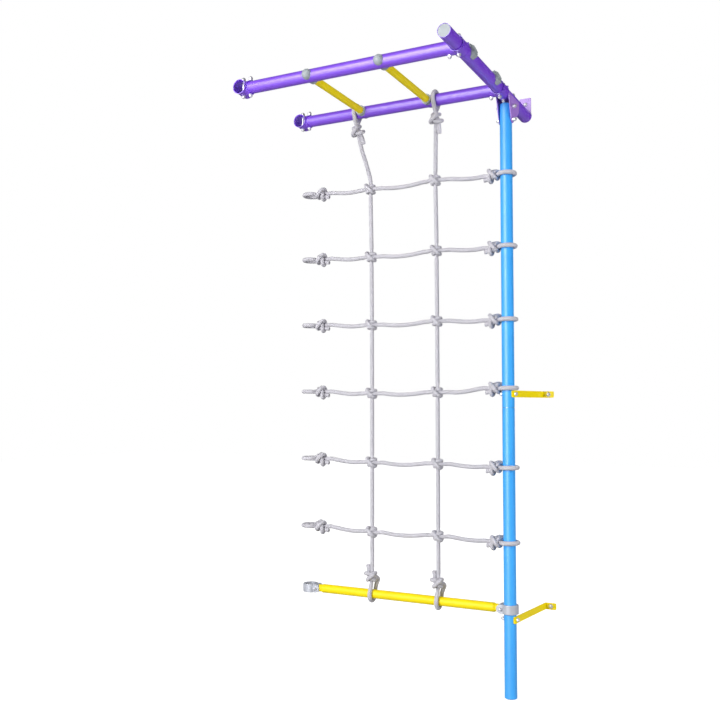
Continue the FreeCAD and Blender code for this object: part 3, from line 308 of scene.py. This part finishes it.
def curve_through(points, step):
    """Centripetal Catmull-Rom curve through the points, sampled evenly."""
    points = np.asarray(points, float)
    points = np.vstack([2 * points[0] - points[1], points, 2 * points[-1] - points[-2]])
    fine = []
    for p0, p1, p2, p3 in zip(points, points[1:], points[2:], points[3:]):
        t0 = 0.0
        t1 = t0 + max(np.linalg.norm(p1 - p0), 1e-3) ** 0.5
        t2 = t1 + max(np.linalg.norm(p2 - p1), 1e-3) ** 0.5
        t3 = t2 + max(np.linalg.norm(p3 - p2), 1e-3) ** 0.5
        t = np.linspace(t1, t2, 24, endpoint=False)[:, None]
        a1 = (t1 - t) / (t1 - t0) * p0 + (t - t0) / (t1 - t0) * p1
        a2 = (t2 - t) / (t2 - t1) * p1 + (t - t1) / (t2 - t1) * p2
        a3 = (t3 - t) / (t3 - t2) * p2 + (t - t2) / (t3 - t2) * p3
        b1 = (t2 - t) / (t2 - t0) * a1 + (t - t0) / (t2 - t0) * a2
        b2 = (t3 - t) / (t3 - t1) * a2 + (t - t1) / (t3 - t1) * a3
        fine.append((t2 - t) / (t2 - t1) * b1 + (t - t1) / (t2 - t1) * b2)
    return resample(np.vstack(fine + [points[-2:-1]]), step)


def settle(path, still, others=None, tube=None, rounds=160, pull=0.28):
    """Draws a knot tight: the free samples shorten their way, and strands that come too close are
    pushed apart.  still marks the samples that stay; others is a rope that passes through; tube is
    (a point on its axis, the axis, least distance)."""
    path = path.copy()
    count = len(path)
    index = np.arange(count)
    apart = np.abs(index[:, None] - index[None, :]) * SAMPLE > 2.4 * ROPE_R * 2
    free = ~still
    for _ in range(rounds):
        middle = (path[:-2] + path[2:]) / 2 - path[1:-1]
        path[1:-1] += middle * pull * free[1:-1, None]
        for _ in range(PUSHES):
            gap = path[:, None, :] - path[None, :, :]
            distance = np.linalg.norm(gap, axis=2) + 1e-9
            close = np.clip(CLOSEST - distance, 0, None) * apart
            share = np.where(free[None, :], 0.5, 1.0)
            push = (gap / distance[..., None] * (close * share)[..., None]).sum(1)
            hits = np.maximum((close > 0).sum(1), 1)
            path += push / hits[:, None] * free[:, None]
            if others is not None:
                gap = path[:, None, :] - others[None, :, :]
                distance = np.linalg.norm(gap, axis=2) + 1e-9
                nearest = distance.argmin(1)
                rows = np.arange(count)
                close = np.clip(CLOSEST - distance[rows, nearest], 0, None)
                way = gap[rows, nearest] / distance[rows, nearest][:, None]
                path += way * close[:, None] * free[:, None]
            if tube is not None:
                point, axis, least = tube
                out = path - point
                out -= np.outer(out @ axis, axis)
                distance = np.linalg.norm(out, axis=1) + 1e-9
                close = np.clip(least - distance, 0, None)
                path += out / distance[:, None] * close[:, None] * free[:, None]
    return path


def round_axis(centre, along, front, side, steps):
    """Points given as (distance along, degrees from the front towards side, radius)."""
    points = []
    for reach, degrees, radius in steps:
        aim = math.radians(degrees)
        points.append(centre + along * reach
                      + (front * math.cos(aim) + side * math.sin(aim)) * radius)
    return points


WRAP = 13.4             # mm between the rope's centre and that of the rope it is hitched to
FIRST_TURN = [(7, 0, WRAP), (12, 60, WRAP), (13, 110, WRAP), (7, 180, WRAP)]
FIRST_TURN_PAST_TAIL = [(8, 0, WRAP), (13, 50, WRAP + 5), (13, 85, WRAP + 12), (11, 125, WRAP + 8),
                        (7, 180, WRAP)]
SECOND_TURN = [(12, 240, WRAP), (13, 288, WRAP + 1), (9, 325, WRAP + 6), (0, 360, WRAP + 12),
               (-9, 395, WRAP + 6), (-13, 432, WRAP + 1), (-12, 480, WRAP), (-7, 540, WRAP),
               (-12, 610, WRAP), (-12, 660, WRAP), (-7, 720, WRAP)]


def crossing_knot(lead):
    """Hitch of a row rope round an upright rope at the origin, from -X to +X."""
    points = [np.array([-lead, 0, 0]), np.array([-lead * 0.7, 0, 0]), np.array([-30.0, -3, 1])]
    points += round_axis(np.zeros(3), Z, -Y, X, [(1, -62, WRAP)] + FIRST_TURN + SECOND_TURN
                         + [(-1, 782, WRAP)])
    points += [np.array([30.0, -3, -1]), np.array([lead * 0.7, 0, 0]), np.array([lead, 0, 0])]
    path = curve_through(points, SAMPLE)
    still = np.abs(path[:, 0]) > lead * 0.75
    upright = np.stack([np.zeros(81), np.zeros(81), np.linspace(-60, 60, 81)], axis=1)
    return settle(path, still, others=upright)


LOOP_ANGLES = range(62, 299, 22)    # degrees round the tube, from the knot's side
KNOT_TO_LOOP = 12       # mm
KNOT_AHEAD = 18         # mm of straight rope into the knot
LOOP_SLACK = 0.2        # mm


def tie_knot(axis_point, tube_axis, toward, front, side, knot, away, loop_r, stub, tail):
    """Rope that comes in along `away`, goes round a tube and is hitched to itself at the knot, with
    its cut tail beside the standing rope.  Runs from the standing rope's far end to the tail."""
    front_here = unit(front - away * (front @ away))
    side_here = unit(side - away * (side @ away) - front_here * (side @ front_here))
    points = [knot + away * stub, knot + away * stub * 0.6, knot + away * KNOT_AHEAD, knot]
    points.append(knot - away * KNOT_TO_LOOP + front_here)
    for degrees in LOOP_ANGLES:
        aim = math.radians(degrees)
        points.append(axis_point + (toward * math.cos(aim) + front * math.sin(aim)) * loop_r)
    entry = [(-17, 206, WRAP + 8), (-9, 232, WRAP + 11), (-1, 262, WRAP + 5), (4, 312, WRAP)]
    leave = [(-2, 762, WRAP), (7, 785, WRAP), (18, 795, WRAP + 1), (tail - 8, 797, WRAP + 2.6),
             (tail, 797, WRAP + 3.2)]
    steps = entry + FIRST_TURN_PAST_TAIL + SECOND_TURN + leave
    points += round_axis(knot, away, front_here, side_here, steps)
    path = curve_through(points, SAMPLE)
    distance = (path - knot) @ away
    ahead = np.linalg.norm(path - knot - np.outer(distance, away), axis=1)
    index = np.arange(len(path))
    still = (index < len(path) * 0.5) & (distance > -8) & (ahead < 3)
    still |= index > len(path) - 3
    round_tube = path - axis_point
    still |= (round_tube @ toward < 0) & (np.abs(np.linalg.norm(round_tube, axis=1) - loop_r) < 4)
    return settle(path, still, tube=(axis_point, tube_axis, loop_r - LOOP_SLACK))


# ------------------------------------------------------------------ rope meshes
AROUND = STRANDS * 6    # mesh points round the rope
RING_STEP = CELL_LENGTH / 5
BRAID_BASE = 7.35       # mm, bottom of the braid's grooves
BRAID_RISE = 0.95       # mm, strands above the grooves
END_ROUND = 1.6         # mm, rounding of a cut end
PRESSED = 0.91          # rope thickness inside a knot, as a share of the free rope's
KNOT_REACH = 24.0       # mm from the knot's middle
KNOT_EASE = 16.0        # mm over which the pressed rope regains its thickness


def rope_frames(path):
    """Directions along the path and a normal carried along without twist."""
    tangent = np.gradient(path, axis=0)
    tangent /= np.linalg.norm(tangent, axis=1)[:, None]
    normal = np.empty_like(path)
    seed = np.cross(tangent[0], Z if abs(tangent[0][2]) < 0.8 else X)
    normal[0] = unit(seed)
    for k in range(1, len(path)):
        carried = normal[k - 1] - tangent[k] * (normal[k - 1] @ tangent[k])
        normal[k] = carried / np.linalg.norm(carried)
    return tangent, normal


def braid(angle, along):
    """Relief 0..1 of the braid at an angle round the rope and a distance along it."""
    turn = angle * STRANDS / (2 * math.pi)
    rise = along / CELL_LENGTH
    one, other = turn + rise, turn - rise
    here_one, here_other = one - np.floor(one) - 0.5, other - np.floor(other) - 0.5
    over = (np.floor(one) + np.floor(other)) % 2 < 0.5
    across = np.where(over, here_one, here_other)
    length = np.where(over, here_other, here_one)
    return np.cos(math.pi * across) ** 0.8 * (0.45 + 0.55 * np.cos(math.pi * length))


class Rope:
    """One rope sampled ring by ring, from which pieces are cut."""

    def __init__(self, route, knots):
        smooth = curve_through(route, RING_STEP)
        self.path = resample(smooth, RING_STEP)
        self.tangent, self.normal = rope_frames(self.path)
        nearest = np.min([np.linalg.norm(self.path - knot, axis=1) for knot in knots], axis=0)
        share = np.clip((nearest - KNOT_REACH) / KNOT_EASE, 0, 1)
        self.thickness = PRESSED + (1 - PRESSED) * share ** 2 * (3 - 2 * share)

    def nearest(self, point, first=0, last=None):
        last = len(self.path) if last is None else last
        gaps = np.linalg.norm(self.path[first:last] - point, axis=1)
        return first + int(gaps.argmin())

    def piece(self, name, first, last, cut_start=False, cut_end=False):
        rings = np.arange(first, last + 1)
        angle = np.arange(AROUND) * 2 * math.pi / AROUND
        along = rings * RING_STEP
        relief = braid(angle[None, :], along[:, None])
        radius = (BRAID_BASE + BRAID_RISE * relief) * self.thickness[rings][:, None]
        for open_end, order in ((cut_start, 0), (cut_end, -1)):
            if open_end:
                depth = np.abs(along - along[order])
                inside = depth < END_ROUND
                chord = np.clip(END_ROUND ** 2 - (END_ROUND - depth) ** 2, 0, None)
                fall = END_ROUND - np.sqrt(chord)
                radius[inside] -= fall[inside][:, None]
        side = np.cross(self.tangent[rings], self.normal[rings])
        out = (np.cos(angle)[None, :, None] * self.normal[rings][:, None, :]
               + np.sin(angle)[None, :, None] * side[:, None, :])
        ring_points = self.path[rings][:, None, :] + out * radius[..., None]
        count = len(rings)
        vertices = np.concatenate([ring_points.reshape(-1, 3), self.path[[first, last]]]) * MM
        row = np.arange(count - 1)[:, None] * AROUND
        here = np.arange(AROUND)[None, :]
        after = (here + 1) % AROUND
        quads = np.stack([row + here, row + after, row + AROUND + after, row + AROUND + here],
                         axis=-1).reshape(-1, 4)
        start_centre = count * AROUND
        end_centre = start_centre + 1
        ring = np.arange(AROUND)
        start_cap = np.stack([np.full(AROUND, start_centre), (ring + 1) % AROUND, ring], axis=1)
        top = (count - 1) * AROUND
        end_cap = np.stack([np.full(AROUND, end_centre), top + ring, top + (ring + 1) % AROUND],
                           axis=1)
        mesh = bpy.data.meshes.new(name)
        mesh.vertices.add(len(vertices))
        mesh.vertices.foreach_set("co", vertices.ravel())
        loops = np.concatenate([quads.ravel(), start_cap.ravel(), end_cap.ravel()])
        sizes = np.concatenate([np.full(len(quads), 4), np.full(2 * AROUND, 3)])
        starts = np.concatenate([[0], np.cumsum(sizes)[:-1]])
        mesh.loops.add(len(loops))
        mesh.loops.foreach_set("vertex_index", loops.astype(np.int32))
        mesh.polygons.add(len(sizes))
        mesh.polygons.foreach_set("loop_start", starts.astype(np.int32))
        mesh.update(calc_edges=True)
        uv = mesh.uv_layers.new(name="braid")
        turn = np.arange(AROUND) * STRANDS / AROUND
        rise = along / CELL_LENGTH
        quad_u = np.stack([turn, turn + STRANDS / AROUND, turn + STRANDS / AROUND, turn], axis=1)
        quad_u = np.broadcast_to(quad_u[None], (count - 1, AROUND, 4))
        quad_v = np.stack([rise[:-1], rise[:-1], rise[1:], rise[1:]], axis=1)
        quad_v = np.broadcast_to(quad_v[:, None, :], (count - 1, AROUND, 4))
        flat = np.zeros((len(loops), 2))
        flat[:quads.size, 0] = quad_u.ravel()
        flat[:quads.size, 1] = quad_v.ravel()
        uv.data.foreach_set("uv", flat.ravel().astype(np.float32))
        # the relief is also the mask of the rope material's painted groove shade; the two cap
        # centres get 0.3
        height = mesh.attributes.new("relief", "FLOAT", "POINT")
        values = np.concatenate([relief.ravel(), [0.3, 0.3]])
        height.data.foreach_set("value", values.astype(np.float32))
        smooth = np.ones(len(sizes), bool)
        smooth[len(quads):] = False
        mesh.polygons.foreach_set("use_smooth", smooth)
        mesh.validate()
        mesh.materials.append(materials["net_rope"])
        thing = bpy.data.objects.new(name, mesh)
        bpy.context.scene.collection.objects.link(thing)
        return thing


# ------------------------------------------------------------------ where the ropes run
KNOT_RADIUS = 17.0      # of the CAD's tie knots
KNOT_TO_POST = 47.0     # mm
left_x = centre_of("rung_left")[0]
right_x = centre_of("rung_right")[0]


def tie_levels(node):
    """Height of each tie's standing rope, top row first."""
    return sorted((high[2] - KNOT_RADIUS for _, high in islands(node)), reverse=True)


left_levels = tie_levels("left_row_ties")
right_levels = tie_levels("right_row_ties")
left_ties_box = [np.array(corner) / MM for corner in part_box("left_row_ties")]
right_ties_box = [np.array(corner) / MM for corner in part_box("right_row_ties")]
post_loop_r = right_ties_box[1][0] - ROPE_R
post_x = 0.0
ladder_x = left_ties_box[0][0] + post_loop_r + ROPE_R
stub_left = left_ties_box[1][0] - ladder_x
stub_right = -right_ties_box[0][0]
TAIL = 39.0             # mm, cut tail past the knot


CROSSING_HALF = 9.0     # mm each side of an upright rope's axis


def crossing_centre(row, x):
    points = points_of(f"row_rope_{row}")
    near = points[np.abs(points[:, 0] - x) < CROSSING_HALF]
    low, high = near.min(0), near.max(0)
    return np.array([x, (low[1] + high[1]) / 2, (low[2] + high[2]) / 2])


ROWS = range(1, len(left_levels) + 1)
crossings = {(row, side): crossing_centre(row, x)
             for row in ROWS for side, x in (("left", left_x), ("right", right_x))}
LEAD = 52.0             # mm of row rope each side of a crossing knot
knot_shape = crossing_knot(LEAD)
SAG = 7.0               # mm, middle span
END_SAG = SAG * 0.6     # of the spans beside the posts


def span(start, start_way, end, end_way, sag):
    """Slack rope between two points, leaving and arriving along the ways given."""
    reach = np.linalg.norm(end - start) / 3
    t = np.linspace(0, 1, 24)[:, None]
    a, b, c, d = start, start + start_way * reach, end - end_way * reach, end
    line = (1 - t) ** 3 * a + 3 * (1 - t) ** 2 * t * b + 3 * (1 - t) * t ** 2 * c + t ** 3 * d
    line[:, 2] -= (sag * 4 * t * (1 - t))[:, 0]
    return line[1:-1]


def make_rows():
    for row in ROWS:
        ends = {}
        for side, x, level, inward, stub in (
                ("left", ladder_x, left_levels[row - 1], X, stub_left),
                ("right", post_x, right_levels[row - 1], -X, stub_right)):
            post = np.array([x, 0, level])
            knot = post + inward * KNOT_TO_POST
            ends[side] = tie_knot(post, Z, inward, -Y, -Z, knot, inward, post_loop_r,
                                  stub - KNOT_TO_POST, TAIL)
        left_end, right_end = ends["left"][0], ends["right"][0]
        left_knot = knot_shape + crossings[row, "left"]
        right_knot = knot_shape + crossings[row, "right"]
        route = [ends["left"][::-1], span(left_end, X, left_knot[0], X, END_SAG), left_knot,
                 span(left_knot[-1], X, right_knot[0], X, SAG), right_knot,
                 span(right_knot[-1], X, right_end, X, END_SAG), ends["right"]]
        middles = [np.array([ladder_x + KNOT_TO_POST, 0, left_levels[row - 1]]),
                   crossings[row, "left"], crossings[row, "right"],
                   np.array([post_x - KNOT_TO_POST, 0, right_levels[row - 1]])]
        rope = Rope(np.vstack(route), middles)
        marks = [0]
        for point in (left_end, left_knot[0], right_knot[-1], right_end):
            marks.append(rope.nearest(point, marks[-1]))
        marks.append(len(rope.path) - 1)
        name = f"row_{row}"
        left_tie = rope.piece(f"{name}_left_tie", marks[0], marks[1], cut_start=True)
        left_span = rope.piece(f"{name}_left_span", marks[1], marks[2])
        middle = rope.piece(f"{name}_knots", marks[2], marks[3])
        right_span = rope.piece(f"{name}_right_span", marks[3], marks[4])
        right_tie = rope.piece(f"{name}_right_tie", marks[4], marks[5], cut_end=True)
        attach(left_tie, "frame")
        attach(right_tie, "frame")
        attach(middle, "net")
        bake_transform(left_span)
        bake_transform(right_span)
        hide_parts("left_row_ties")
        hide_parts("right_row_ties")
        for thing in (left_span, middle, right_span):
            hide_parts(f"row_rope_{row}")


TOP_TIE_SHIFT = 28.0    # mm from the overhead rung's axis
TOP_KNOT_DROP = 68.0    # mm below the rear tube's axis
TOP_STUB = 76.0         # mm of standing rope made with the top tie
TOP_TAIL = 58.0
BOTTOM_KNOT_RISE = 66.0
BOTTOM_STUB = 64.0
BOTTOM_TAIL = 46.0
ROPE_GAP = 0.5          # mm between a tie and its tube
STRAIGHT_HALF = 30.0    # mm each side of a crossing where the upright rope is straight
BEND_RISE = 42.0        # mm above the first crossing, where the rope bends towards its tie
BEND_LEAN = 0.08
BEND_SHARE = 0.45
MIDDLE_REACH = 32.0     # mm past the outer crossings that move with the net


def make_uprights():
    tube = centre_of("rear_cross_tube")
    bar = centre_of("bottom_bar")
    bar_r = (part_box("bottom_bar")[1][1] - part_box("bottom_bar")[0][1]) / MM / 2
    tube_r = (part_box("rear_cross_tube")[1][1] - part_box("rear_cross_tube")[0][1]) / MM / 2
    for side, x, outward in (("left", left_x, -1), ("right", right_x, 1)):
        first = crossings[1, side]
        last = crossings[len(left_levels), side]
        top_axis = np.array([x + outward * TOP_TIE_SHIFT, tube[1], tube[2]])
        top_knot = top_axis - Z * TOP_KNOT_DROP
        away = unit(first - top_knot)
        top_tie = tie_knot(top_axis, X, -Z, -Y, X, top_knot, away, tube_r + ROPE_R + ROPE_GAP,
                           TOP_STUB, TOP_TAIL)
        bar_axis = np.array([last[0], bar[1], bar[2]])
        low_knot = bar_axis + Z * BOTTOM_KNOT_RISE
        bottom_tie = tie_knot(bar_axis, X, Z, -Y, -X, low_knot, Z, bar_r + ROPE_R + ROPE_GAP,
                              BOTTOM_STUB, BOTTOM_TAIL)
        straight = [np.array([last[0], crossings[row, side][1], crossings[row, side][2] + shift])
                    for row in ROWS for shift in (STRAIGHT_HALF, -STRAIGHT_HALF)]
        bend = first + Z * BEND_RISE + (top_tie[0] - first) * BEND_LEAN
        halfway = top_tie[0] * BEND_SHARE + bend * (1 - BEND_SHARE)
        route = [top_tie[::-1], [halfway], straight, bottom_tie]
        middles = [top_knot, low_knot] + [crossings[row, side] for row in ROWS]
        rope = Rope(np.vstack(route), middles)
        above = rope.nearest(first + Z * MIDDLE_REACH)
        below = rope.nearest(last - Z * MIDDLE_REACH)
        start = rope.nearest(top_tie[0], 0, above)
        end = rope.nearest(bottom_tie[0], below)
        name = f"upright_{side}"
        top = rope.piece(f"{name}_top_tie", 0, start, cut_start=True)
        upper = rope.piece(f"{name}_upper_lead", start, above)
        middle = rope.piece(f"{name}_middle", above, below)
        lower = rope.piece(f"{name}_lower_lead", below, end)
        bottom = rope.piece(f"{name}_bottom_tie", end, len(rope.path) - 1, cut_end=True)
        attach(top, "frame")
        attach(bottom, "frame")
        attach(middle, "net")
        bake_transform(upper)
        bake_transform(lower)
        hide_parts("top_ties")
        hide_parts("bottom_ties")
        for thing in (upper, middle, lower):
            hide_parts(f"vertical_rope_{side}")


make_rows()
make_uprights()


# ------------------------------------------------------------------ studio
FLOOR_HALF = 12.0           # m
FLOOR_REACH = (0.6, 2.2)    # m from the object, over which the floor pales
FLOOR_GLOW = (0.86, 1.0)


def make_floor():
    mesh = bpy.data.meshes.new("studio_floor")
    corners = [(-FLOOR_HALF, -FLOOR_HALF, STAGE_Z), (FLOOR_HALF, -FLOOR_HALF, STAGE_Z),
               (FLOOR_HALF, FLOOR_HALF, STAGE_Z), (-FLOOR_HALF, FLOOR_HALF, STAGE_Z)]
    mesh.from_pydata(corners, [], [(0, 1, 2, 3)])
    material, tree, shader = new_material("studio_floor_paint")
    shader.inputs["Base Color"].default_value = (0.38, 0.38, 0.39, 1)
    shader.inputs["Roughness"].default_value = 0.9
    shader.inputs["Specular IOR Level"].default_value = 0.0
    shader.inputs["Emission Color"].default_value = (1, 1, 1, 1)
    where = add(tree, "ShaderNodeTexCoord")
    reach = add(tree, "ShaderNodeVectorMath", operation="LENGTH")
    tree.links.new(where.outputs["Object"], reach.inputs[0])
    paler = add(tree, "ShaderNodeMapRange")
    paler.inputs["From Min"].default_value, paler.inputs["From Max"].default_value = FLOOR_REACH
    paler.inputs["To Min"].default_value, paler.inputs["To Max"].default_value = FLOOR_GLOW
    tree.links.new(reach.outputs["Value"], paler.inputs["Value"])
    path = add(tree, "ShaderNodeLightPath")
    glow = math_node(tree, "MULTIPLY", paler.outputs["Result"], path.outputs["Is Camera Ray"])
    tree.links.new(glow, shader.inputs["Emission Strength"])
    mesh.materials.append(material)
    floor = bpy.data.objects.new("studio_floor", mesh)
    bpy.context.scene.collection.objects.link(floor)


WORLD_LIGHT = 0.36       # strength of the surroundings as light
WORLD_MIRRORED = 0.14    # and as seen in glossy surfaces


def make_world():
    """White to the camera; to the object a studio that is brighter overhead than at its sides."""
    world = bpy.data.worlds.new("studio")
    bpy.context.scene.world = world
    world.use_nodes = True
    tree = world.node_tree
    tree.nodes.clear()
    output = tree.nodes.new("ShaderNodeOutputWorld")
    seen = add(tree, "ShaderNodeBackground", Strength=1.0)
    seen.inputs["Color"].default_value = (1, 1, 1, 1)
    felt = add(tree, "ShaderNodeBackground")
    where = add(tree, "ShaderNodeTexCoord")
    split = add(tree, "ShaderNodeSeparateXYZ")
    tree.links.new(where.outputs["Generated"], split.inputs[0])
    sky = ramp(tree, split.outputs[2], (0.10, 0.09, 0.13, 1), (1, 1, 1, 1), 0.0, 0.8)
    tree.links.new(sky, felt.inputs["Color"])
    path = add(tree, "ShaderNodeLightPath")
    strength = math_node(tree, "SUBTRACT", WORLD_LIGHT, math_node(
        tree, "MULTIPLY", path.outputs["Is Glossy Ray"], WORLD_LIGHT - WORLD_MIRRORED))
    tree.links.new(strength, felt.inputs["Strength"])
    mix = add(tree, "ShaderNodeMixShader")
    tree.links.new(path.outputs["Is Camera Ray"], mix.inputs[0])
    tree.links.new(felt.outputs[0], mix.inputs[1])
    tree.links.new(seen.outputs[0], mix.inputs[2])
    tree.links.new(mix.outputs[0], output.inputs["Surface"])


# name, place, target, width, height, watts, whether glossy surfaces mirror it
LIGHTS = [
    ("high_front", (-1.5, -4.3, 2.9), (-0.4, 0, 1.3), 2.6, 2.4, 165, True),
    ("low_front", (-1.2, -4.4, 0.6), (-0.1, 0, 0.5), 1.7, 1.1, 75, True),
    ("left_fill", (-4.4, -2.6, 2.2), (-0.3, 0, 1.2), 1.4, 2.8, 24, False),
    ("right_fill", (4.2, -0.3, 1.6), (-0.2, 0, 1.2), 1.4, 2.8, 105, False),
    ("back_fill", (1.2, 4.4, 2.4), (-0.3, 0, 1.2), 1.8, 2.8, 90, False),
]


def area_light(name, place, target, width, height, power, mirrored):
    light = bpy.data.lights.new(name, "AREA")
    light.shape = "RECTANGLE"
    light.size, light.size_y = width, height
    light.energy = power
    thing = bpy.data.objects.new(name, light)
    thing.location = place
    way = Vector(target) - Vector(place)
    thing.rotation_euler = way.to_track_quat("-Z", "Y").to_euler()
    thing.visible_glossy = mirrored
    bpy.context.scene.collection.objects.link(thing)


CAMERA_PLACE = (0.9407, -3.0444, 1.0499)
CAMERA_AZIMUTH = 26.95  # degrees
CAMERA_PITCH = 2.97     # degrees
LENS = 43.0             # mm
SENSOR = 36.0           # mm


def make_camera():
    """Eye level, about three metres off, turned 27 degrees towards the ladder's side."""
    azimuth, pitch = math.radians(CAMERA_AZIMUTH), math.radians(CAMERA_PITCH)
    forward = Vector((-math.sin(azimuth) * math.cos(pitch), math.cos(azimuth) * math.cos(pitch),
                      math.sin(pitch)))
    right = forward.cross(Vector((0, 0, 1))).normalized()
    up = right.cross(forward)
    data = bpy.data.cameras.new("camera")
    data.sensor_width = SENSOR
    data.lens = LENS
    camera = bpy.data.objects.new("camera", data)
    turn = Matrix((right, up, -forward)).transposed().to_4x4()
    camera.matrix_world = Matrix.Translation(CAMERA_PLACE) @ turn
    bpy.context.scene.collection.objects.link(camera)
    bpy.context.scene.camera = camera


make_floor()
make_world()
for lamp in LIGHTS:
    area_light(*lamp)
make_camera()
bpy.context.scene.view_settings.view_transform = "Standard"
